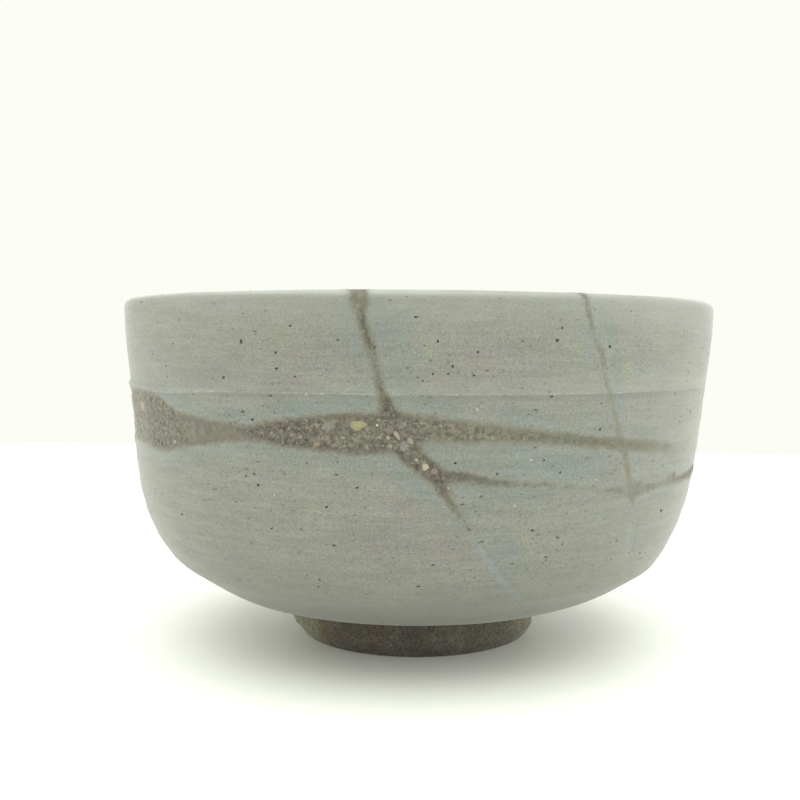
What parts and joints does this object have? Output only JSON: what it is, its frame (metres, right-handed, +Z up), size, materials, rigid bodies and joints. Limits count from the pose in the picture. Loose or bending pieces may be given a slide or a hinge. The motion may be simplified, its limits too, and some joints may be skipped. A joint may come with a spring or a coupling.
{
  "type": "tea bowl",
  "caption": "Wide, deep tea bowl of glazed stoneware with a low ridge round its wall, a soft hip and a small foot ring.",
  "frame": {"origin": "middle of the foot ring's face, on the plane that the bowl stands on", "axes": "+Z up along the bowl's axis; the front of the bowl, where the bare bands cross, faces -Y, and its right side +X"},
  "size_m": [0.123, 0.123, 0.0709],
  "materials": {
    "glaze": "matte grey-green ash glaze"
  },
  "bodies": {
    "root": {"tea_bowl": "glaze"}
  },
  "joints": []
}
